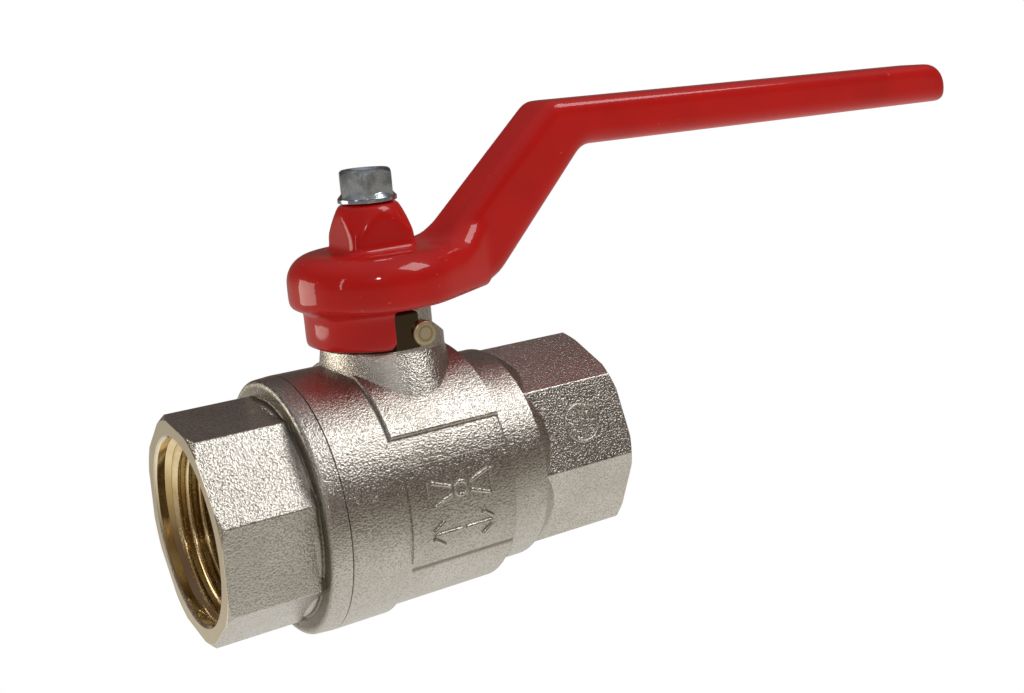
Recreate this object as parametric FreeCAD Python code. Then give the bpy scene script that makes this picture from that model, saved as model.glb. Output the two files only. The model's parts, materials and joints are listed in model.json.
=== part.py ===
import FreeCAD, Part
import math
import os

# Full-bore brass ball valve, DN25, with G1 female pipe threads at both ends.
# Origin: centre of the ball.  +X: along the pipe, towards the port of the body.
# +Z: along the stem, towards the lever.  The lever lies along +X when the valve is open.

os.makedirs("parts", exist_ok=True)

Vec = FreeCAD.Vector
x_axis = Vec(1, 0, 0)
y_axis = Vec(0, 1, 0)
z_axis = Vec(0, 0, 1)

# Driving dimensions, in millimetres and degrees

# waterway and ball
waterway_radius = 12.5
ball_wall = 6.5
slot_depth = 4.6
slot_width = 6.2

# seat rings
seat_length = 5.0
seat_wall = 5.4
seat_web = 1.6

# pipe threads
thread_root_radius = 16.62
thread_length = 13.0
mouth_step = 0.95
mouth_depth = 2.0
mouth_chamfer = 0.5
port_wall = 2.75

# body barrel
cavity_gap = 0.8
gasket_width = 1.7
gasket_thickness = 1.0
barrel_wall = 3.5
barrel_reach = 13.0
barrel_round = 0.9
body_web = 11.9
runout_start = 22.0
runout_length = 3.6

# end cap
spigot_length = 9.5
flange_length = 3.9
flange_round = 0.9
cap_octagon_length = 17.9
cap_turn = 73.4
octagon_round = 0.5
octagon_inset = 0.3
groove_rise = 0.8
joint_bevel = 0.15

# raised and sunk areas of the barrel
pad_reach = 10.4
pad_height = 0.8
pad_round = 0.55
pad_edge_angle = 35.0
panel_left = 9.6
panel_right = 12.2
panel_half_height = 9.5
panel_corner = 1.6
panel_height = 0.4
mark_width = 0.9
mark_half_length = 6.6
mark_symbol_rise = 3.9
mark_flange_half = 2.2
mark_gap = 0.75
mark_ring_radius = 1.25
mark_slant_end = 0.85
arrow_length = 2.4
arrow_half = 2.3
dial_x = 33.2
dial_radius = 3.7
dial_dots = 8
dial_dot_reach = 2.37
dial_rim = 0.375
relief_depth = 0.9

# neck
neck_radius = 12.0
neck_flare_x = 12.7
neck_flare_y = 17.0
shoulder_height = 28.2
neck_upper_radius = 10.2
neck_top = 37.0

# stop lug and pin, as angles about the stem from +X
lug_start = -103.5
lug_end = -35.0
lug_reach = 12.3
lug_top = 35.4
lug_round = 0.5
lug_slope_start = 1.6
lug_slope_angle = 35.5
pin_radius = 2.45
pin_x = 3.0
pin_z = 30.9
pin_reach = 13.1
pin_depth = 8.8
pin_round = 0.5

# stem
stem_radius = 5.0
collar_radius = 7.5
collar_height = 2.1
collar_gap = 0.5
tang_length = 13.0
tang_reach = 4.2
washer_thickness = 1.0
seal_land = 4.4
o_ring_section = 1.9
packing_height = 2.2
packing_wall = 2.95
follower_height = 1.4
gland_hex_height = 3.2
gland_hex_flats = 16.0
stem_square = 8.0
stem_square_height = 10.0
stem_shoulder = 42.0

# lever
lever_reach = 160.5
lever_width = 13.0
lever_edge_round = 2.6
grip_top = 71.2
grip_height = 9.6
crank_toe = 13.1
toe_round = 5.0
crank_heel = 23.7
heel_round = 10.0
crank_top_angle = 42.5
crank_under_angle = 46.7
disc_radius = 17.0
disc_under = 36.3
disc_top = 46.4
disc_top_round = 5.2
disc_under_round = 1.2
skirt_radius = 14.5
skirt_wall = 3.5
skirt_bottom = 28.9
skirt_corner = 1.2
web_reach = 22.4
web_tuck = 0.1
foot_round = 4.0
foot_start = 9.0
hub_side = 13.0
hub_top = 55.5
hub_corner = 2.2
hub_dome_radius = 8.8
hub_dome_start = 48.8
hub_dome_top = 5.6
hub_draft = 0.4
travel = 90.0
stop_gap = 0.5

# lever bolt
bolt_radius = 3.0
bolt_length = 13.0
bolt_flange_radius = 5.7
bolt_flange_height = 1.5
bolt_hex_flats = 9.6
bolt_hex_height = 4.7
bolt_dish = 0.7
bolt_turn = 8.0

# clearances
seat_gap = 0.1
running_gap = 0.05
assembly_gap = 0.02
slot_gap = 0.1
socket_gap = 0.1
foot_sink = 0.2

# Dimensions worked out from those above
ball_radius = waterway_radius + ball_wall
ball_half_length = math.sqrt(ball_radius**2 - waterway_radius**2)
seat_radius = waterway_radius + seat_wall
seat_back = ball_half_length + seat_web
seat_front = seat_back - seat_length
cavity_radius = ball_radius + cavity_gap
spigot_radius = cavity_radius + gasket_width
barrel_radius = spigot_radius + barrel_wall
spigot_end = seat_front + gasket_thickness
joint_reach = spigot_end + spigot_length
cap_reach = joint_reach + flange_length + cap_octagon_length
mouth_radius = thread_root_radius + mouth_step
port_depth = mouth_depth + mouth_step + thread_length
body_reach = seat_back + body_web + port_depth
octagon_flat = mouth_radius + port_wall
half_facet = 22.5
octagon_corner = octagon_flat / math.cos(math.radians(half_facet))
collar_bottom = ball_radius + collar_gap
collar_top = collar_bottom + collar_height
ceiling = collar_top + washer_thickness
collar_pocket_radius = collar_radius + 0.3
packing_floor = ceiling + seal_land
packing_top = packing_floor + 2 * packing_height
gland_floor = packing_top + follower_height
packing_radius = stem_radius + packing_wall
skirt_inner = skirt_radius - skirt_wall


def cylinder(radius, start, end, axis=x_axis):
    """Solid cylinder on an axis through the origin, from start to end along it."""
    return Part.makeCylinder(radius, end - start, axis * start, axis)


def tube(outer, inner, start, end, axis=x_axis):
    return cylinder(outer, start, end, axis).cut(cylinder(inner, start, end, axis))


def outline(points):
    """Closed wire through (u, v, radius) points, with each corner rounded by its radius."""
    count = len(points)
    ends = []
    for i in range(count):
        here = Vec(points[i][0], points[i][1], 0)
        back = Vec(points[i - 1][0], points[i - 1][1], 0) - here
        ahead = Vec(points[(i + 1) % count][0], points[(i + 1) % count][1], 0) - here
        back.normalize()
        ahead.normalize()
        radius = points[i][2]
        if radius == 0:
            ends.append((here, here, here))
            continue
        half = back.getAngle(ahead) / 2
        run = radius / math.tan(half)
        toward = back + ahead
        toward.normalize()
        middle = here + toward * (radius / math.sin(half) - radius)
        ends.append((here + back * run, middle, here + ahead * run))
    edges = []
    for i in range(count):
        first, middle, last = ends[i]
        if (last - first).Length > 1e-6:
            edges.append(Part.Arc(first, middle, last).toShape())
        following = ends[(i + 1) % count][0]
        if (following - last).Length > 1e-6:
            edges.append(Part.LineSegment(last, following).toShape())
    return Part.Wire(edges)


def turned_x(points):
    """Solid of revolution about X from (x, r, corner radius) points."""
    face = Part.Face(outline(points))
    return face.revolve(Vec(0, 0, 0), x_axis, 360)


def turned_z(points):
    """Solid of revolution about Z from (r, z, corner radius) points."""
    face = Part.Face(outline(points))
    face.rotate(Vec(0, 0, 0), x_axis, 90)
    return face.revolve(Vec(0, 0, 0), z_axis, 360)


def prism_wire(sides, flat, turn):
    """Regular polygon in the XY plane, a corner at the angle turn from +X."""
    corner = flat / math.cos(math.pi / sides)
    points = []
    for i in range(sides + 1):
        angle = math.radians(turn + 360.0 / sides * i)
        points.append(Vec(corner * math.cos(angle), corner * math.sin(angle), 0))
    return Part.makePolygon(points)


def prism_z(sides, flat, turn, start, end):
    face = Part.Face(prism_wire(sides, flat, turn))
    face.translate(Vec(0, 0, start))
    return face.extrude(Vec(0, 0, end - start))


def octagon_x(start, end, turn):
    """Octagonal bar along X, its long corners rounded, a corner at turn from +Y."""
    bar = prism_z(8, octagon_flat, 0, start, end)
    long_edges = [e for e in bar.Edges if e.Length > abs(end - start) - 0.01]
    bar = bar.makeFillet(octagon_round, long_edges)
    bar.rotate(Vec(0, 0, 0), y_axis, 90)
    # after that turn a corner stands at +Y, since the octagon has corners every 45 degrees
    bar.rotate(Vec(0, 0, 0), x_axis, turn)
    return bar


def sector_z(outer, inner, start, end, bottom, top):
    """Part of a ring about Z between two angles in degrees."""
    ring = Part.makeCylinder(outer, top - bottom, Vec(0, 0, bottom), z_axis, end - start)
    ring = ring.cut(cylinder(inner, bottom - 1, top + 1, z_axis))
    ring.rotate(Vec(0, 0, 0), z_axis, start)
    return ring


def sector_x(outer, inner, start, end, left, right):
    """Part of a ring about X between two angles in degrees, measured from -Y towards +Z."""
    ring = Part.makeCylinder(outer, right - left, Vec(0, 0, 0), z_axis, end - start)
    ring = ring.cut(cylinder(inner, -1, right - left + 1, z_axis))
    ring.rotate(Vec(0, 0, 0), z_axis, 180 - end)
    # this turn carries X to Y, Y to Z and Z to X
    ring.rotate(Vec(0, 0, 0), Vec(1, 1, 1), 120)
    ring.translate(Vec(left, 0, 0))
    return ring


def port_cut(reach, sign):
    """Mouth, thread and shoulder of one port, cut from the face at reach inwards."""
    shoulder = reach - port_depth
    points = [
        (reach + 1, 0, 0),
        (reach + 1, mouth_radius + mouth_chamfer + 1, 0),
        (reach, mouth_radius + mouth_chamfer, 0),
        (reach - mouth_chamfer, mouth_radius, 0),
        (reach - mouth_depth, mouth_radius, 0),
        (reach - mouth_depth - mouth_step, thread_root_radius, 0),
        (shoulder, thread_root_radius, 0),
        (shoulder, 0, 0),
    ]
    return turned_x([(sign * x, r, c) for x, r, c in points])


def save(name, shape):
    if shape.ShapeType == "Compound" and len(shape.Solids) == 1:
        shape = shape.Solids[0]
    shape.exportStep("parts/" + name + ".step")
    print(name, "solids", len(shape.Solids), "valid", shape.isValid(), "volume", round(shape.Volume, 1))


def capsule(start, end):
    """Rounded stroke between two points, for raised marks."""
    run = end - start
    half = mark_width / 2
    tip = 0.6 * half
    profile = outline([(-tip, 0, 0), (-tip, half, 0.9 * tip), (run.Length + tip, half, 0.9 * tip),
                       (run.Length + tip, 0, 0)])
    stroke = Part.Face(profile).revolve(Vec(0, 0, 0), x_axis, 360)
    stroke.Placement = FreeCAD.Placement(start, FreeCAD.Rotation(x_axis, run))
    return stroke


def panel_point(x, rise):
    """Point on the panel's surface, rise being measured along the surface from its middle."""
    radius = barrel_radius + panel_height
    angle = rise / radius
    return Vec(x, -radius * math.cos(angle), radius * math.sin(angle))


def valve_marks():
    """Plain raised marks on the side panel: the drawing symbol of a valve above a two-way arrow."""
    middle = (panel_right - panel_left) / 2 - 0.3
    rise = mark_symbol_rise
    strokes = []
    for side in (-1, 1):
        end_x = middle + side * mark_half_length
        inner_x = end_x - side * mark_gap
        barb_x = end_x - side * arrow_length
        tip_x = end_x - side * mark_gap * 0.6
        strokes.append(capsule(panel_point(end_x, rise - mark_flange_half),
                               panel_point(end_x, rise + mark_flange_half)))
        strokes.append(capsule(panel_point(middle + side * 0.6, -rise), panel_point(inner_x, -rise)))
        for tilt in (-1, 1):
            outer = panel_point(inner_x, rise + tilt * mark_flange_half)
            inner = panel_point(middle + side * mark_flange_half, rise + tilt * mark_slant_end)
            strokes.append(capsule(outer, inner))
            strokes.append(capsule(panel_point(barb_x, -rise + tilt * arrow_half),
                                   panel_point(tip_x, -rise + tilt * mark_slant_end)))
    ring = Part.makeTorus(mark_ring_radius, mark_width / 2, panel_point(middle, rise), panel_point(0, rise))
    return strokes + [ring]


def casting_dial():
    """Ring of dots with a pointer on one flat of the body's octagon, as a foundry dial has."""
    centre = Vec(dial_x, -octagon_flat, 0)
    marks = [Part.makeTorus(dial_radius, dial_rim, centre, y_axis)]
    for i in range(dial_dots):
        angle = 2 * math.pi * i / dial_dots
        place = centre + Vec(math.cos(angle), 0, math.sin(angle)) * dial_dot_reach
        marks.append(Part.makeSphere(mark_width / 2, place))
    pointer = Vec(0.3, 0, 0.6)
    marks.append(capsule(centre - pointer, centre + pointer))
    for mark in marks:
        mark.rotate(Vec(0, 0, 0), x_axis, -half_facet)
    return marks


def side_panel():
    """Raised panel on the side of the barrel that faces -Y."""
    width = panel_left + panel_right
    left = -panel_left
    points = [
        (left, -panel_half_height, panel_corner),
        (left + width, -panel_half_height, 0),
        (left + width, panel_half_height, 0),
        (left, panel_half_height, panel_corner),
    ]
    face = Part.Face(outline(points))
    face.rotate(Vec(0, 0, 0), x_axis, 90)
    block = face.extrude(Vec(0, -(barrel_radius + 5), 0))
    block = block.cut(cylinder(cavity_radius, left - 1, left + width + 1))
    return block.common(cylinder(barrel_radius + panel_height, left, left + width))


def body_outside():
    """The turned and forged outer form, before it is hollowed."""
    neck_x = barrel_reach + 0.6
    turned = turned_x([
        (-joint_reach, 0, 0),
        (-joint_reach, barrel_radius - joint_bevel, 0),
        (-joint_reach + joint_bevel, barrel_radius, 0),
        (barrel_reach, barrel_radius, barrel_round),
        (neck_x, octagon_corner, barrel_round),
        (runout_start, octagon_corner, 1.0),
        (runout_start + runout_length, octagon_flat - octagon_inset, 0.6),
        (body_reach - 1, octagon_flat - octagon_inset, 0),
        (body_reach - 1, 0, 0),
    ])
    octagon = octagon_x(runout_start - 1.0, body_reach, 90)
    # the end is turned, which takes the tips of the eight corners off
    octagon = octagon.common(turned_x([
        (runout_start - 2, 0, 0),
        (runout_start - 2, octagon_corner + 0.01, 0),
        (body_reach - 0.9, octagon_corner + 0.01, 0),
        (body_reach, octagon_flat + 0.6, 0),
        (body_reach, 0, 0),
    ]))
    sunk = sector_x(barrel_radius + 2, barrel_radius - relief_depth, pad_edge_angle - 180,
                    -pad_edge_angle, -pad_reach, barrel_reach + 3)
    turned = turned.cut(sunk)
    pad = sector_x(barrel_radius + pad_height, cavity_radius, pad_edge_angle,
                   180 - pad_edge_angle, -pad_reach, barrel_reach - 0.4)
    rim = [e for e in pad.Edges if e.BoundBox.XMax < -pad_reach + 0.01 and e.BoundBox.ZMax > barrel_radius
           or e.BoundBox.XLength > 1 and abs(e.CenterOfMass.y) > 20.5]
    pad = pad.makeFillet(pad_round, rim)
    turned = turned.multiFuse([octagon, pad, side_panel()])
    return turned.multiFuse(valve_marks() + casting_dial())


def neck_outside():
    """Round neck that widens towards the barrel, with the turned step for the lever's skirt."""
    foot_height = cavity_radius - 0.8
    foot = Part.Ellipse(Vec(0, 0, foot_height), neck_flare_y, neck_flare_x).toShape()
    foot.rotate(Vec(0, 0, 0), z_axis, 90)
    head = Part.Circle(Vec(0, 0, shoulder_height), z_axis, neck_radius).toShape()
    flare = Part.makeLoft([Part.Wire([foot]), Part.Wire([head])], True, True)
    upper = cylinder(neck_upper_radius, shoulder_height - 1, neck_top, z_axis)
    lug = sector_z(lug_reach, packing_radius, lug_start, lug_end, shoulder_height - 1, lug_top)
    lug = lug.common(turned_z([
        (0, shoulder_height - 1, 0),
        (lug_reach, shoulder_height - 1, 0),
        (lug_reach, lug_top, lug_round),
        (0, lug_top, 0),
    ]))
    # the lug's top falls away towards +X
    wedge = Part.makeBox(20, 30, 20, Vec(0, -30, 0))
    wedge.rotate(Vec(0, 0, 0), y_axis, lug_slope_angle)
    wedge.translate(Vec(lug_slope_start, 0, lug_top))
    return flare.multiFuse([upper, lug.cut(wedge)])


def make_body():
    outside = body_outside().fuse(neck_outside())
    hollow = [
        cylinder(spigot_radius + assembly_gap, -joint_reach - 1, -seat_front),
        cylinder(cavity_radius, -seat_front - 1, seat_front),
        cylinder(seat_radius + assembly_gap, seat_front - 1, seat_back),
        cylinder(waterway_radius, seat_back - 1, body_reach),
        port_cut(body_reach, 1),
        cylinder(collar_pocket_radius, ball_radius - 3, ceiling, z_axis),
        cylinder(stem_radius + running_gap, ceiling - 1, packing_floor + 1, z_axis),
        cylinder(packing_radius + assembly_gap, packing_floor, neck_top + 1, z_axis),
        Part.makeCylinder(pin_radius, pin_reach, Vec(pin_x, -pin_depth, pin_z), Vec(0, -1, 0)),
    ]
    return outside.cut(hollow[0].multiFuse(hollow[1:]))


def make_end_cap():
    inner = joint_reach + flange_length
    octagon = octagon_x(-cap_reach, -inner + 0.5, cap_turn)
    octagon = octagon.common(turned_x([
        (-inner + 1, 0, 0),
        (-inner + 1, octagon_corner + 0.01, 0),
        (-cap_reach + 0.9, octagon_corner + 0.01, 0),
        (-cap_reach, octagon_flat + 0.6, 0),
        (-cap_reach, 0, 0),
    ]))
    turned = turned_x([
        (-spigot_end, 0, 0),
        (-spigot_end, spigot_radius - 0.4, 0),
        (-spigot_end - 0.4, spigot_radius, 0),
        (-joint_reach, spigot_radius, 0),
        (-joint_reach, barrel_radius - joint_bevel, 0),
        (-joint_reach - joint_bevel, barrel_radius, 0),
        (-inner, barrel_radius - 0.3, flange_round),
        (-inner + 0.1, octagon_flat + groove_rise, 0.4),
        (-inner - 0.7, octagon_flat + groove_rise - 0.1, 0.4),
        (-inner - 1.5, octagon_flat - octagon_inset, 0),
        (-inner - 1.5, 0, 0),
    ])
    hollow = [
        cylinder(waterway_radius, -cap_reach, -spigot_end + 1),
        cylinder(seat_radius + assembly_gap, -seat_back, -spigot_end + 1),
        port_cut(cap_reach, -1),
    ]
    return octagon.fuse(turned).cut(hollow[0].multiFuse(hollow[1:]))


def make_ball():
    ball = Part.makeSphere(ball_radius)
    ball = ball.cut(cylinder(waterway_radius, -ball_radius, ball_radius))
    slot = Part.makeBox(slot_width, 2 * ball_radius, slot_depth + 1,
                        Vec(-slot_width / 2, -ball_radius, ball_radius - slot_depth))
    return ball.cut(slot)


def make_seat(sign):
    ring = tube(seat_radius, waterway_radius, seat_front, seat_back)
    ring = ring.cut(Part.makeSphere(ball_radius + seat_gap))
    if sign < 0:
        ring.rotate(Vec(0, 0, 0), z_axis, 180)
    return ring


def make_body_gasket():
    return tube(spigot_radius - assembly_gap, cavity_radius, -spigot_end, -seat_front)


def make_stem():
    tang = Part.makeBox(slot_width - 2 * slot_gap, tang_length, tang_reach + 0.5,
                        Vec(-slot_width / 2 + slot_gap, -tang_length / 2, collar_bottom - tang_reach))
    tang = tang.common(cylinder(collar_radius - 0.3, 0, collar_top, z_axis))
    square = Part.makeBox(stem_square, stem_square, stem_square_height + 0.5,
                          Vec(-stem_square / 2, -stem_square / 2, stem_shoulder - 0.5))
    square = square.common(cylinder(stem_radius, 0, stem_shoulder + stem_square_height, z_axis))
    collar = cylinder(collar_radius, collar_bottom, collar_top, z_axis)
    shank = cylinder(stem_radius, collar_bottom, stem_shoulder, z_axis)
    stem = tang.multiFuse([collar, shank, square])
    groove_middle = ceiling + seal_land / 2
    groove = tube(stem_radius + 1, stem_radius - o_ring_section * 0.8,
                  groove_middle - 0.6 * o_ring_section, groove_middle + 0.6 * o_ring_section, z_axis)
    top = stem_shoulder + stem_square_height
    thread_hole = cylinder(bolt_radius + assembly_gap, hub_top - bolt_length - 1.5, top + 1, z_axis)
    return stem.cut(groove.fuse(thread_hole))


def make_stem_o_ring():
    """O-ring squeezed between the floor of its groove and the bore."""
    inner = stem_radius - o_ring_section * 0.8
    middle = Vec(0, 0, ceiling + seal_land / 2)
    ring = Part.makeTorus((inner + stem_radius) / 2, o_ring_section / 2, middle)
    return ring.common(tube(stem_radius, inner, ceiling, packing_floor, z_axis))


def make_thrust_washer():
    return tube(collar_pocket_radius - assembly_gap, stem_radius + running_gap,
                collar_top + running_gap, ceiling, z_axis)


def make_packing(level):
    bottom = packing_floor + level * packing_height
    return tube(packing_radius, stem_radius + running_gap, bottom, bottom + packing_height, z_axis)


def make_gland_follower():
    return tube(packing_radius, stem_radius + running_gap, packing_top, gland_floor, z_axis)


def make_gland_nut():
    thread = cylinder(packing_radius, gland_floor, neck_top + 0.5, z_axis)
    head = prism_z(6, gland_hex_flats / 2, 0, neck_top, neck_top + gland_hex_height)
    rounding = turned_z([
        (0, neck_top, 0),
        (gland_hex_flats, neck_top, 0),
        (gland_hex_flats, neck_top + gland_hex_height - 4, 0),
        (gland_hex_flats / 2, neck_top + gland_hex_height, 0),
        (0, neck_top + gland_hex_height, 0),
    ])
    nut = thread.fuse(head.common(rounding))
    bore = cylinder(stem_radius + running_gap, gland_floor - 1, neck_top + gland_hex_height + 1, z_axis)
    return nut.cut(bore)


def make_stop_pin():
    length = pin_reach - pin_depth
    pin = Part.makeCylinder(pin_radius - assembly_gap, length, Vec(pin_x, -pin_depth, pin_z), Vec(0, -1, 0))
    rim = [e for e in pin.Edges if e.BoundBox.YMax < -pin_reach + 0.01]
    return pin.makeFillet(pin_round, rim)


def lever_arm():
    """The cranked arm as one flat outline in the XZ plane, given its width and rounded edges."""
    grip_bottom = grip_top - grip_height
    rise = grip_top - disc_top
    under_rise = grip_bottom - disc_under
    knee_top = crank_toe + rise / math.tan(math.radians(crank_top_angle))
    knee_under = crank_heel + under_rise / math.tan(math.radians(crank_under_angle))
    points = [
        (0, disc_top, 0),
        (crank_toe, disc_top, toe_round),
        (knee_top, grip_top, 4.0),
        (lever_reach, grip_top, 6.0),
        (lever_reach, grip_bottom + 0.2, 1.8),
        (knee_under, grip_bottom, 5.0),
        (crank_heel, disc_under, heel_round),
        (0, disc_under, 0),
    ]
    face = Part.Face(outline(points))
    face.rotate(Vec(0, 0, 0), x_axis, 90)
    face.translate(Vec(0, lever_width / 2, 0))
    arm = face.extrude(Vec(0, -lever_width, 0))
    sides = [e for e in arm.Edges if e.BoundBox.YLength < 0.01 and e.BoundBox.XMax > 1]
    return arm.makeFillet(lever_edge_round, sides)


def lever_hub():
    """Square boss over the stem, drawn in slightly upwards, with a turned dome that leaves arched flats."""
    half = hub_side / 2
    loops = []
    for height, size in ((disc_top - 3, half + hub_draft), (hub_top, half)):
        wire = outline([(-size, -size, hub_corner), (size, -size, hub_corner),
                        (size, size, hub_corner), (-size, size, hub_corner)])
        wire.translate(Vec(0, 0, height))
        loops.append(wire)
    dome = turned_z([
        (0, disc_top - 3, 0),
        (hub_dome_radius + 0.6, disc_top - 3, 0),
        (hub_dome_radius, hub_dome_start, 4.0),
        (hub_dome_top, hub_top, 1.8),
        (0, hub_top, 0),
    ])
    return Part.makeLoft(loops, True, True).common(dome)


def on_top_rim(edge, top):
    """True for the edges round the top of the disc and up the two sides of the crank's foot."""
    box = edge.BoundBox
    return box.ZMax > top - 0.01 and box.XLength > 0.5 and (box.ZLength > 1 or box.ZMin > top - 0.5)


def disc_plan(shrink):
    """Round plan of the disc that narrows to the arm's width on the side of the arm."""
    radius = disc_radius - shrink
    half = lever_width / 2 - web_tuck
    tangent = math.atan2(half, web_reach) + math.acos(radius / math.hypot(web_reach, half))
    side_x = radius * math.cos(tangent)
    side_y = radius * math.sin(tangent)
    front = Vec(side_x, -side_y, disc_under)
    rear = Vec(side_x, side_y, disc_under)
    end_front = Vec(web_reach, -half, disc_under)
    end_rear = Vec(web_reach, half, disc_under)
    rim = Part.Wire([
        Part.Arc(rear, Vec(-radius, 0, disc_under), front).toShape(),
        Part.LineSegment(front, end_front).toShape(),
        Part.LineSegment(end_front, end_rear).toShape(),
        Part.LineSegment(end_rear, rear).toShape(),
    ])
    return Part.Face(rim)


def crank_foot():
    """The part of the disc's rim that climbs the crank, sunk a little inside the disc where they overlap."""
    top = disc_top - foot_sink
    end = web_reach + 2
    rise = (end - crank_toe) * math.tan(math.radians(crank_top_angle))
    side = outline([
        (-disc_radius - 2, disc_under - 1, 0),
        (end, disc_under - 1, 0),
        (end, top + rise, 0),
        (crank_toe, top, toe_round),
        (-disc_radius - 2, top, 0),
    ])
    side.rotate(Vec(0, 0, 0), x_axis, 90)
    side.translate(Vec(0, 2 * disc_radius, 0))
    tall = disc_plan(foot_sink).extrude(Vec(0, 0, grip_top - disc_under))
    foot = tall.common(Part.Face(side).extrude(Vec(0, -4 * disc_radius, 0)))
    foot = foot.makeFillet(foot_round, [e for e in foot.Edges if on_top_rim(e, top)])
    corner = Vec(foot_start, -2 * disc_radius, disc_under + foot_round)
    return foot.common(Part.makeBox(disc_radius * 2, 4 * disc_radius, grip_top, corner))


def lever_disc():
    """Round disc under the hub, cut back under the crank."""
    disc = disc_plan(0).extrude(Vec(0, 0, disc_top - disc_under))
    level = [e for e in disc.Edges if e.BoundBox.ZLength < 0.01 and e.BoundBox.XLength > 1]
    upper = [e for e in level if e.CenterOfMass.z > disc_top - 0.01]
    lower = [e for e in level if e.CenterOfMass.z < disc_under + 0.01]
    disc = disc.makeFillet(disc_top_round, upper).makeFillet(disc_under_round, lower)
    disc = disc.fuse(crank_foot())
    # two planes follow the rounded heel of the crank
    quarter = math.radians(crank_under_angle / 4)
    slope = math.radians(crank_under_angle)
    first_x = crank_heel - heel_round * (math.tan(2 * quarter) - math.tan(quarter))
    edge = 2 * heel_round * math.tan(quarter)
    bend_x = first_x + edge * math.cos(slope / 2)
    bend_z = disc_under + edge * math.sin(slope / 2)
    lead = 8.0
    far = web_reach + 10
    points = [
        Vec(first_x - lead, -20, disc_under - lead * math.tan(slope / 2)),
        Vec(bend_x, -20, bend_z),
        Vec(far, -20, bend_z + (far - bend_x) * math.tan(slope)),
        Vec(far, -20, 0),
        Vec(first_x - lead, -20, 0),
    ]
    below = Part.Face(Part.makePolygon(points + points[:1])).extrude(Vec(0, 40, 0))
    return disc.cut(below)


def end_rounding(angle, side):
    """Takes the lower corner off one end of the skirt; side is +1 where it begins, -1 where it ends."""
    reach = skirt_wall + 2
    low = 0 if side > 0 else -skirt_corner
    block = Part.makeBox(reach, skirt_corner + 1, skirt_corner + 1,
                         Vec(skirt_inner - 1, low - (1 if side > 0 else 0), skirt_bottom - 1))
    axis_point = Vec(skirt_inner - 1, side * skirt_corner, skirt_bottom + skirt_corner)
    block = block.cut(Part.makeCylinder(skirt_corner, reach, axis_point, x_axis))
    block.rotate(Vec(0, 0, 0), z_axis, angle)
    return block


def lever_skirt():
    """Part ring under the disc whose two ends meet the stop lug at the ends of the travel."""
    end = lug_start + 360 - stop_gap
    start = lug_end + travel + stop_gap
    skirt = sector_z(skirt_radius, skirt_inner, start, end, skirt_bottom, disc_under + 1)
    return skirt.cut(end_rounding(start, 1).fuse(end_rounding(end, -1)))


def make_lever():
    lever = lever_disc().multiFuse([lever_arm(), lever_hub(), lever_skirt()])
    cavity = cylinder(skirt_inner, skirt_bottom - 1, stem_shoulder, z_axis)
    socket = stem_square + 2 * socket_gap
    square_top = stem_shoulder + stem_square_height + socket_gap
    square = Part.makeBox(socket, socket, stem_square_height + socket_gap + 1,
                          Vec(-socket / 2, -socket / 2, stem_shoulder - 1))
    square = square.common(cylinder(stem_radius + socket_gap, stem_shoulder - 1, square_top, z_axis))
    hole = cylinder(bolt_radius + 0.2, stem_shoulder, hub_top + 1, z_axis)
    return lever.cut(cavity.multiFuse([square, hole]))


def make_lever_bolt():
    base = hub_top
    hex_bottom = base + bolt_flange_height * 0.5
    hex_top = base + bolt_flange_height + bolt_hex_height
    flange = turned_z([
        (0, base, 0),
        (bolt_flange_radius, base, 0.2),
        (bolt_flange_radius, base + 0.8, 0.3),
        (bolt_hex_flats / 2, base + bolt_flange_height + 0.3, 0),
        (0, base + bolt_flange_height + 0.3, 0),
    ])
    head = prism_z(6, bolt_hex_flats / 2, bolt_turn, hex_bottom, hex_top)
    corner = bolt_hex_flats / 2 / math.cos(math.radians(30))
    rounding = turned_z([
        (0, hex_bottom, 0),
        (corner + 1, hex_bottom, 0),
        (corner + 1, hex_top - 1.6, 0),
        (bolt_hex_flats / 2 - 0.4, hex_top, 0.5),
        (0, hex_top, 0),
    ])
    dish = turned_z([
        (0, hex_top - bolt_dish, 0),
        (bolt_hex_flats / 2 - 1.9, hex_top - bolt_dish, 0.4),
        (bolt_hex_flats / 2 - 1.1, hex_top, 0),
        (bolt_hex_flats / 2 - 1.1, hex_top + 1, 0),
        (0, hex_top + 1, 0),
    ])
    shank = cylinder(bolt_radius, base - bolt_length, base + 0.5, z_axis)
    return head.common(rounding).multiFuse([flange, shank]).cut(dish)


save("body", make_body())
save("end_cap", make_end_cap())
save("ball", make_ball())
save("inlet_seat", make_seat(-1))
save("outlet_seat", make_seat(1))
save("body_gasket", make_body_gasket())
save("stem", make_stem())
save("stem_o_ring", make_stem_o_ring())
save("thrust_washer", make_thrust_washer())
save("lower_packing", make_packing(0))
save("upper_packing", make_packing(1))
save("gland_follower", make_gland_follower())
save("gland_nut", make_gland_nut())
save("stop_pin", make_stop_pin())
save("lever", make_lever())
save("lever_bolt", make_lever_bolt())
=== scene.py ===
import json
import math
import bmesh
import bpy
from mathutils import Matrix, Vector


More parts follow.
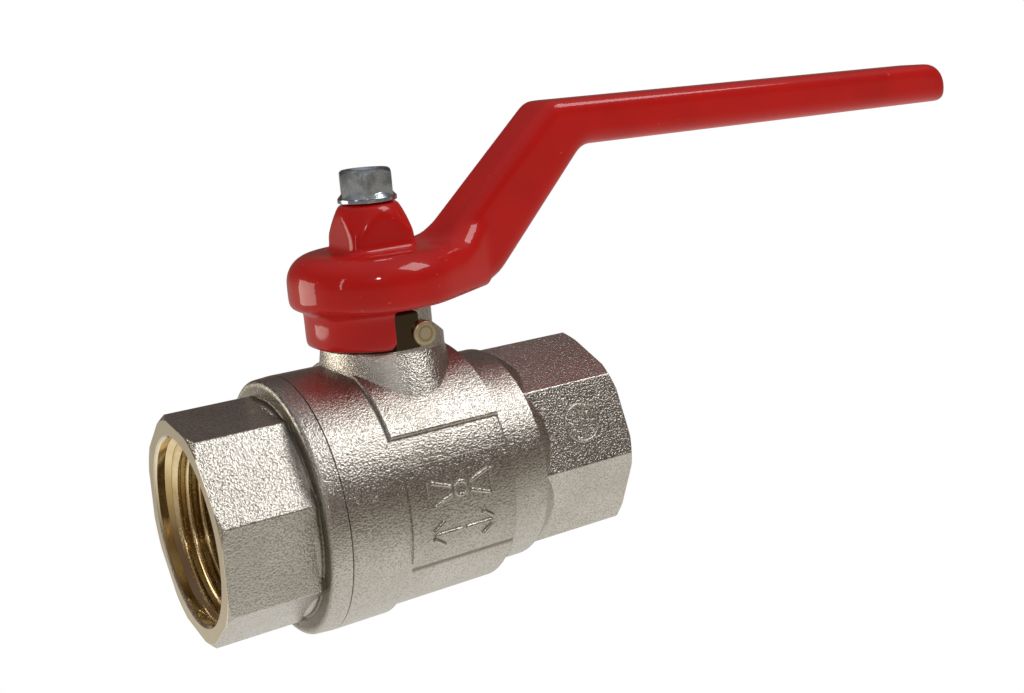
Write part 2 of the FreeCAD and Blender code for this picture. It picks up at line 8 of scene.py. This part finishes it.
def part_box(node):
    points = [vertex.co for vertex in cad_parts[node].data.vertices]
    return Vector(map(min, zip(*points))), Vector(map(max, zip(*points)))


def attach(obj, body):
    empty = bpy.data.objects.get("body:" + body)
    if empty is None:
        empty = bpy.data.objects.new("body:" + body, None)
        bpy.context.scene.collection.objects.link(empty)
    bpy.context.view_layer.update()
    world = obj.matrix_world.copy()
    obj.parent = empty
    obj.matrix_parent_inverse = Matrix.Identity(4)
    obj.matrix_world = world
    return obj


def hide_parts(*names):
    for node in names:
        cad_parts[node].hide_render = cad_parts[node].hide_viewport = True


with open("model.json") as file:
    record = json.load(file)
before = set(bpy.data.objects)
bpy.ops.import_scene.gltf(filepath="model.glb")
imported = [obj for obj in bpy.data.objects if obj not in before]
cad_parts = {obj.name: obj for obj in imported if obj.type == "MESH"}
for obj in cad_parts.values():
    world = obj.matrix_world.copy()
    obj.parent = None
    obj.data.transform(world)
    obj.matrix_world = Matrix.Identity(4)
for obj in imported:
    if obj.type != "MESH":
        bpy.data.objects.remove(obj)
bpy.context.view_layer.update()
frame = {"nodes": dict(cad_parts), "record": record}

scene = bpy.context.scene
scene.view_settings.view_transform = "Standard"
mm = 0.001
print("frame loaded:", len(frame["nodes"]), "nodes")


class Wire:
    # an output socket that sums and products can be written with
    def __init__(self, net, socket):
        self.net = net
        self.socket = socket

    def maths(self, operation, *others):
        return self.net.add("ShaderNodeMath", {"operation": operation}, dict(enumerate((self,) + others)))

    def flipped(self, operation, other):
        return self.net.add("ShaderNodeMath", {"operation": operation}, {0: other, 1: self})

    def __add__(self, other):
        return self.maths("ADD", other)

    def __radd__(self, other):
        return self.flipped("ADD", other)

    def __sub__(self, other):
        return self.maths("SUBTRACT", other)

    def __rsub__(self, other):
        return self.flipped("SUBTRACT", other)

    def __mul__(self, other):
        return self.maths("MULTIPLY", other)

    def __rmul__(self, other):
        return self.flipped("MULTIPLY", other)

    def __gt__(self, other):
        return self.maths("GREATER_THAN", other)

    def __lt__(self, other):
        return self.maths("LESS_THAN", other)

    def size(self):
        return self.maths("ABSOLUTE")

    def root(self):
        return self.maths("SQRT")

    def either(self, other):
        return self.maths("MAXIMUM", other)

    def both(self, other):
        return self.maths("MINIMUM", other)

    def ramp(self, low, high, start=0.0, end=1.0):
        # goes from start to end with soft ends while the value goes from low to high
        return self.net.add("ShaderNodeMapRange", {"interpolation_type": "SMOOTHSTEP"},
                            {"Value": self, "From Min": low, "From Max": high, "To Min": start,
                             "To Max": end})


def fillStops(ramp, stops):
    # a new colour ramp already has its first and last stops
    ramp.elements[0].position, ramp.elements[0].color = stops[0]
    ramp.elements[1].position, ramp.elements[1].color = stops[-1]
    for position, colour in stops[1:-1]:
        ramp.elements.new(position).color = colour


class Net:
    # the nodes of one material, or of the world
    def __init__(self, owner):
        owner.use_nodes = True
        self.owner = owner
        self.tree = owner.node_tree
        self.tree.nodes.clear()

    def add(self, kind, settings=None, sockets=None, out=0):
        node = self.tree.nodes.new(kind)
        for key, value in (settings or {}).items():
            if key == "stops":
                fillStops(node.color_ramp, value)
            else:
                setattr(node, key, value)
        for key, value in (sockets or {}).items():
            if isinstance(value, Wire):
                self.tree.links.new(value.socket, node.inputs[key])
            else:
                node.inputs[key].default_value = value
        if len(node.outputs):
            return Wire(self, node.outputs[out])

    def axes(self, place="Object"):
        split = self.add("ShaderNodeSeparateXYZ", {}, {0: self.add("ShaderNodeTexCoord", out=place)})
        return [Wire(self, socket) for socket in split.socket.node.outputs]

    def noise(self, grain, detail=3.0, rough=0.5):
        # grain is the size of one speck, in metres
        return self.add("ShaderNodeTexNoise", {},
                        {"Vector": self.add("ShaderNodeTexCoord", out="Object"), "Scale": 1 / grain,
                         "Detail": detail, "Roughness": rough})

    def mix(self, factor, first, second):
        return self.add("ShaderNodeMix", {"data_type": "RGBA"},
                        {"Factor": factor, 6: first, 7: second}, out=2)

    def bump(self, height, distance):
        return self.add("ShaderNodeBump", {}, {"Height": height, "Distance": distance, "Strength": 1.0})

    def surface(self, **sockets):
        named = {key.replace("_", " "): value for key, value in sockets.items()}
        shader = self.add("ShaderNodeBsdfPrincipled", {}, named)
        self.add("ShaderNodeOutputMaterial", {}, {"Surface": shader})
        return self.owner


def near(value, place, width):
    # 1 at the place, fading to 0 at the given distance
    return (value - place).size().ramp(0.0, width, 1.0, 0.0)


# ends and joint of the body along the pipe
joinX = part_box("body")[0].x
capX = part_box("end_cap")[0].x
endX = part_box("body")[1].x

# the olive colour is painted shade for the bands behind the flange, at the step and under the side panel
# the turned colour is painted shade on the stop lug's machined face, which sits under the lever
nickel = {"light": (0.64, 0.61, 0.555, 1), "dark": (0.54, 0.51, 0.455, 1), "pit": (0.30, 0.28, 0.24, 1),
          "shadeOlive": (0.10, 0.085, 0.05, 1), "turned": (0.085, 0.062, 0.038, 1), "seam": (0.05, 0.04, 0.02, 1),
          "patch": 16 * mm, "grain": 0.36 * mm, "coarseness": 2.6, "coarseShare": 0.3, "depth": 0.15 * mm,
          "pitting": 0.6, "paintedShade": 0.85, "roughness": 0.26, "turnedShine": 0.12}
brass = {"light": (0.88, 0.74, 0.45, 1), "dark": (0.66, 0.48, 0.23, 1), "pale": (0.93, 0.87, 0.70, 1),
         "dull": (0.66, 0.58, 0.40, 1), "ring": (0.16, 0.10, 0.04, 1), "patch": 6 * mm, "grain": 0.4 * mm,
         "depth": 0.01 * mm, "paleShare": 0.6}
# where tools have bared the body: its ports, its end faces and the top of the stop lug, whose turned face is
# also darkened with painted shade
bared = {"portRadius": 17.9 * mm, "portStart": 26.2 * mm, "faceDepth": 0.12 * mm, "paleStart": 41.4 * mm,
         "lugInner": 9.9 * mm, "lugOuter": 13 * mm, "lugFoot": 28.3 * mm, "lugFront": 2.2 * mm}
# painted shade: darker bands behind the flange, at the barrel's step and under the side panel, where shade
# falls
shadeBands = {"flangeX": joinX - 4.15 * mm, "flangeInner": 22.9 * mm, "flangeOuter": 24.0 * mm, "stepX": 13.3 * mm,
        "stepInner": 22.6 * mm, "stepOuter": 24.6 * mm, "width": 0.75 * mm, "panelZ": -10.1 * mm,
        "panelWidth": 0.85 * mm, "panelStart": -9.4 * mm, "panelEnd": 12.6 * mm, "panelShare": 0.85}
seamLine = {"width": 0.16 * mm, "radius": 24 * mm, "share": 0.9}


def nickelFinish():
    f = Net(bpy.data.materials.new("nickelPlate"))
    x, y, z = f.axes()
    radius = (y * y + z * z).root()
    fromStem = (x * x + y * y).root()
    grain = f.noise(nickel["grain"], 2.0, 0.55)
    coarse = f.noise(nickel["grain"] * nickel["coarseness"], 2.0, 0.5)
    patch = f.noise(nickel["patch"], 3.0, 0.5)
    inPort = (radius < bared["portRadius"]).both(x.size() > bared["portStart"])
    turnedEnd = (x < capX + bared["faceDepth"]).either(x > endX - bared["faceDepth"])
    # the stop lug's turned face: smooth, and darkened with painted shade
    turnedLug = (fromStem > bared["lugInner"]).both(z > bared["lugFoot"])
    turnedLug = turnedLug.both(x < bared["lugFront"]).both(fromStem < bared["lugOuter"])
    bare = inPort.either(turnedEnd)
    smooth = bare.either(turnedLug)
    # painted shade: masks of the bands behind the flange, at the step and under the side panel
    atFlange = near(x, shadeBands["flangeX"], shadeBands["width"])
    atFlange = atFlange.both(radius.ramp(shadeBands["flangeInner"], shadeBands["flangeOuter"], 1.0, 0.0))
    atStep = near(x, shadeBands["stepX"], shadeBands["width"])
    atStep = atStep.both(radius.ramp(shadeBands["stepInner"], shadeBands["stepOuter"], 1.0, 0.0))
    panelFoot = near(z, shadeBands["panelZ"], shadeBands["panelWidth"])
    panelFoot = panelFoot.both((x > shadeBands["panelStart"]).both(x < shadeBands["panelEnd"])).both(y < 0)
    paintedShade = atFlange.either(atStep).either(panelFoot * shadeBands["panelShare"])
    seam = near(x, joinX, seamLine["width"]).both(radius > seamLine["radius"])
    plate = f.mix(patch.ramp(0.3, 0.7), nickel["dark"], nickel["light"])
    plate = f.mix(grain.ramp(0.34, 0.54, 1.0, 0.0) * nickel["pitting"], plate, nickel["pit"])
    # painted shade: the olive colour darkens those bands
    plate = f.mix(paintedShade * nickel["paintedShade"], plate, nickel["shadeOlive"])
    plate = f.mix(seam * seamLine["share"], plate, nickel["seam"])
    # painted shade: the stop lug's turned face is coloured very dark brown
    plate = f.mix(turnedLug, plate, nickel["turned"])
    raw = f.mix(patch.ramp(0.35, 0.65), brass["dark"], brass["light"])
    raw = f.mix((x.size() > bared["paleStart"]) * brass["paleShare"], raw, brass["pale"])
    height = (grain + coarse * nickel["coarseShare"]) * (1 - smooth)
    return f.surface(Base_Color=f.mix(bare, plate, raw), Metallic=1.0,
                     Roughness=nickel["roughness"] - smooth * nickel["turnedShine"],
                     Normal=f.bump(height, nickel["depth"]))


# the stop pin's sawn end is dull, with a ring pressed round its middle
pinEnd = {"x": 3.0 * mm, "z": 30.9 * mm, "radius": 2.6 * mm, "front": -8.5 * mm, "ring": 1.35 * mm,
          "ringWidth": 0.35 * mm, "ringShare": 0.5, "dullShare": 0.5, "roughness": 0.2}


def brassFinish():
    f = Net(bpy.data.materials.new("bareBrass"))
    patch = f.noise(brass["patch"], 3.0, 0.6)
    fine = f.noise(brass["grain"], 2.0, 0.5)
    x, y, z = f.axes()
    across = x - pinEnd["x"]
    up = z - pinEnd["z"]
    fromPin = (across * across + up * up).root()
    onPin = (fromPin < pinEnd["radius"]).both(y < pinEnd["front"])
    ring = near(fromPin, pinEnd["ring"], pinEnd["ringWidth"])
    colour = f.mix(patch.ramp(0.3, 0.7), brass["dark"], brass["light"])
    dull = f.mix(fine.ramp(0.3, 0.7) * pinEnd["dullShare"], brass["dull"], brass["dark"])
    dull = f.mix(ring * pinEnd["ringShare"], dull, brass["ring"])
    return f.surface(Base_Color=f.mix(onPin, colour, dull), Metallic=1.0,
                     Roughness=fine.ramp(0.2, 0.8, 0.16, 0.3) + onPin * pinEnd["roughness"],
                     Normal=f.bump(fine, brass["depth"]))


enamel = {"light": (0.70, 0.012, 0.009, 1), "dark": (0.60, 0.010, 0.008, 1), "speck": (0.75, 0.18, 0.13, 1),
          "patch": 18 * mm, "peel": 2.6 * mm, "nib": 1.3 * mm, "nibColour": 0.35, "nibHeight": 0.5,
          "depth": 0.05 * mm, "roughness": 0.4, "index": 1.2, "coat": 0.7, "coatRoughness": 0.04}


def enamelFinish():
    f = Net(bpy.data.materials.new("redEnamel"))
    peel = f.noise(enamel["peel"], 2.0, 0.5)
    patch = f.noise(enamel["patch"], 2.0, 0.5)
    nib = f.noise(enamel["nib"], 1.0, 0.5).ramp(0.74, 0.80)
    colour = f.mix(patch.ramp(0.3, 0.7), enamel["dark"], enamel["light"])
    colour = f.mix(nib * enamel["nibColour"], colour, enamel["speck"])
    return f.surface(Base_Color=colour, Roughness=enamel["roughness"], IOR=enamel["index"],
                     Coat_Weight=enamel["coat"], Coat_Roughness=enamel["coatRoughness"],
                     Normal=f.bump(peel + nib * enamel["nibHeight"], enamel["depth"]))


zinc = {"light": (0.66, 0.73, 0.78, 1), "dark": (0.36, 0.42, 0.47, 1), "patch": 3 * mm, "grain": 0.5 * mm,
        "depth": 0.03 * mm}


def zincFinish():
    f = Net(bpy.data.materials.new("zincPlate"))
    fine = f.noise(zinc["grain"], 3.0, 0.6)
    patch = f.noise(zinc["patch"], 3.0, 0.6)
    return f.surface(Base_Color=f.mix(patch.ramp(0.35, 0.65), zinc["dark"], zinc["light"]), Metallic=1.0,
                     Roughness=fine.ramp(0.2, 0.8, 0.1, 0.2), Normal=f.bump(fine, zinc["depth"]))


seatPlastic = {"light": (0.92, 0.92, 0.89, 1), "dark": (0.82, 0.82, 0.78, 1), "grain": 0.8 * mm,
               "detail": (3.0, 0.6), "metal": 0.0, "roughness": (0.4, 0.55), "depth": 0.01 * mm}
sealRubber = {"light": (0.04, 0.04, 0.04, 1), "dark": (0.012, 0.012, 0.012, 1), "grain": 0.5 * mm,
              "detail": (3.0, 0.6), "metal": 0.0, "roughness": (0.5, 0.7), "depth": 0.01 * mm}
ballPlating = {"light": (0.80, 0.80, 0.82, 1), "dark": (0.70, 0.70, 0.72, 1), "grain": 0.3 * mm,
               "detail": (2.0, 0.5), "metal": 1.0, "roughness": (0.05, 0.12), "depth": 0.002 * mm}


def evenFinish(name, look):
    # one fine grain gives the colour, the shine and the relief of a hidden piece
    f = Net(bpy.data.materials.new(name))
    fine = f.noise(look["grain"], *look["detail"])
    return f.surface(Base_Color=f.mix(fine.ramp(0.3, 0.7), look["dark"], look["light"]),
                     Metallic=look["metal"], Roughness=fine.ramp(0.2, 0.8, *look["roughness"]),
                     Normal=f.bump(fine, look["depth"]))


finishes = {"nickel_plate": nickelFinish(), "bare_brass": brassFinish(), "red_enamel": enamelFinish(),
            "zinc_plate": zincFinish(), "seat_plastic": evenFinish("seatPlastic", seatPlastic),
            "seal_rubber": evenFinish("sealRubber", sealRubber),
            "ball_plating": evenFinish("ballPlating", ballPlating)}
for part in frame["record"]["subparts"]:
    node = frame["nodes"][part["node"]]
    node.data.materials.clear()
    node.data.materials.append(finishes[part["material_slot"]])
print("finishes made")

# the ridge is drawn as a flat top, two shoulders and two feet sunk in the wall
portThread = {"crest": 15.15 * mm, "root": 16.62 * mm, "pitch": 2.309 * mm, "length": 13.0 * mm,
              "mouth": 2.95 * mm, "steps": 96, "topShare": 0.12, "shoulderShare": 0.30,
              "shoulder": 0.22 * mm, "sunk": 0.1 * mm, "leadIn": 1.2 * mm, "leadOut": 0.6 * mm,
              "coneRadius": 17.66 * mm, "coneStart": 1.95 * mm}


def threadPiece(name, face, side):
    # side is -1 on the end cap's port and +1 on the body's
    bm = bmesh.new()
    half = portThread["pitch"] / 2
    crest = portThread["crest"]
    foot = portThread["root"] + portThread["sunk"]
    shoulder = crest + portThread["shoulder"]
    top = portThread["topShare"] * half
    slope = portThread["shoulderShare"] * half
    outline = [(-half, foot), (-slope, shoulder), (-top, crest),
               (top, crest), (slope, shoulder), (half, foot)]
    start = face - side * (portThread["mouth"] - portThread["leadIn"])
    ring = [bm.verts.new((start + along, 0, radius)) for along, radius in outline]
    edges = [bm.edges.new((ring[i], ring[(i + 1) % len(ring)])) for i in range(len(ring))]
    turns = (portThread["length"] + portThread["leadOut"]) / portThread["pitch"]
    steps = int(turns * portThread["steps"])
    bmesh.ops.spin(bm, geom=ring + edges, cent=(0, 0, 0), axis=(-side, 0, 0), angle=2 * math.pi * turns,
                   steps=steps, dvec=(-side * portThread["pitch"] * turns / steps, 0, 0), use_merge=False)
    bmesh.ops.holes_fill(bm, edges=[e for e in bm.edges if e.is_boundary], sides=len(ring))
    # the mouth's cone cuts the first turn down
    for vert in bm.verts:
        depth = (face - vert.co.x) * side
        radius = math.hypot(vert.co.y, vert.co.z)
        least = portThread["coneRadius"] - max(depth - portThread["coneStart"], 0)
        if radius < least:
            scale = least / radius
            vert.co.y *= scale
            vert.co.z *= scale
    bmesh.ops.recalc_face_normals(bm, faces=bm.faces)
    mesh = bpy.data.meshes.new(name)
    bm.to_mesh(mesh)
    bm.free()
    mesh.shade_smooth()
    piece = bpy.data.objects.new(name, mesh)
    scene.collection.objects.link(piece)
    piece.data.materials.append(finishes["bare_brass"])
    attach(piece, "valve_body")


threadPiece("inletThread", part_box("end_cap")[0].x, -1)
threadPiece("outletThread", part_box("body")[1].x, 1)
print("port threads cut")

castLever = {"weld": 0.001 * mm, "voxel": 0.5 * mm, "rounds": 7, "ease": 0.5}


def leverPiece():
    # one skin over the lever, rubbed down as a casting is
    source = frame["nodes"]["lever"]
    bm = bmesh.new()
    bm.from_mesh(source.data)
    bmesh.ops.remove_doubles(bm, verts=bm.verts, dist=castLever["weld"])
    bmesh.ops.recalc_face_normals(bm, faces=bm.faces)
    mesh = bpy.data.meshes.new("castLever")
    bm.to_mesh(mesh)
    bm.free()
    piece = bpy.data.objects.new("castLever", mesh)
    scene.collection.objects.link(piece)
    remesh = piece.modifiers.new("skin", "REMESH")
    remesh.mode = "VOXEL"
    remesh.voxel_size = castLever["voxel"]
    depsgraph = bpy.context.evaluated_depsgraph_get()
    skin = bpy.data.meshes.new_from_object(piece.evaluated_get(depsgraph))
    piece.modifiers.clear()
    piece.data = skin
    bm = bmesh.new()
    bm.from_mesh(skin)
    for _ in range(castLever["rounds"]):
        bmesh.ops.smooth_vert(bm, verts=bm.verts, factor=castLever["ease"], use_axis_x=True, use_axis_y=True,
                              use_axis_z=True)
    bm.to_mesh(skin)
    bm.free()
    skin.shade_smooth()
    skin.materials.clear()
    skin.materials.append(finishes["red_enamel"])
    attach(piece, "handle")
    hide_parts("lever")
    print("lever faces", len(skin.polygons))


leverPiece()

view = {"place": (-100.80 * mm, -212.28 * mm, 78.48 * mm), "turn": -31.60, "rise": 12.92, "roll": -4.43,
        "lens": 42.86, "sensor": 36, "nearest": 0.01}
camera = bpy.data.objects.new("camera", bpy.data.cameras.new("camera"))
camera.data.lens = view["lens"]
camera.data.sensor_width = view["sensor"]
camera.data.clip_start = view["nearest"]
scene.collection.objects.link(camera)
camera.matrix_world = (Matrix.Translation(view["place"])
                       @ Matrix.Rotation(math.radians(view["turn"]), 4, "Z")
                       @ Matrix.Rotation(math.radians(90 - view["rise"]), 4, "X")
                       @ Matrix.Rotation(math.radians(view["roll"]), 4, "Z"))
scene.camera = camera
print("camera placed")

lights = {"windowLight": {"place": (0.50, -0.40, 0.80), "aim": (0, 0, 0), "size": (0.46, 0.46),
                          "power": 3.6},
          "lampLight": {"place": (-0.30, -0.75, 0.55), "aim": (0.03, 0, 0.03), "size": (0.05, 0.05),
                        "power": 0.9},
          "leftLight": {"place": (-0.75, -0.25, 0.30), "aim": (0, 0, 0), "size": (0.05, 0.5), "power": 0.35},
          "portLight": {"place": (-0.70, 0.50, 0.05), "aim": (-0.03, 0, 0), "size": (0.5, 0.4), "power": 2.2,
                        "colour": (1.0, 0.93, 0.82)}}


def areaLight(name, place, aim, size, power, colour=(1, 1, 1)):
    data = bpy.data.lights.new(name, "AREA")
    data.shape = "RECTANGLE"
    data.size, data.size_y = size
    data.energy = power
    data.color = colour
    light = bpy.data.objects.new(name, data)
    scene.collection.objects.link(light)
    light.location = place
    light.rotation_euler = (Vector(aim) - Vector(place)).to_track_quat("-Z", "Y").to_euler()


for lightName, light in lights.items():
    areaLight(lightName, **light)

# what the metal mirrors, from straight below to straight above
studio = {"backdrop": (1, 1, 1, 1),
          "stops": [(0.0, (0.95, 0.94, 0.92, 1)), (0.12, (0.85, 0.83, 0.79, 1)),
                    (0.30, (0.50, 0.47, 0.42, 1)), (0.46, (0.27, 0.24, 0.21, 1)),
                    (0.53, (0.12, 0.085, 0.07, 1)), (0.74, (0.10, 0.07, 0.065, 1)),
                    (0.86, (0.18, 0.17, 0.17, 1)), (1.0, (0.36, 0.36, 0.37, 1))]}


def studioWorld():
    world = bpy.data.worlds.new("studio")
    w = Net(world)
    upward = w.add("ShaderNodeMapRange", {}, {"Value": w.axes("Generated")[2], "From Min": -1})
    sky = w.add("ShaderNodeValToRGB", {"stops": studio["stops"]}, {0: upward})
    lit = w.add("ShaderNodeBackground", {}, {"Color": sky})
    plain = w.add("ShaderNodeBackground", {}, {"Color": studio["backdrop"]})
    seen = w.add("ShaderNodeLightPath", out="Is Camera Ray")
    chosen = w.add("ShaderNodeMixShader", {}, {0: seen, 1: lit, 2: plain})
    w.add("ShaderNodeOutputWorld", {}, {"Surface": chosen})
    scene.world = world


studioWorld()
print("lights set")
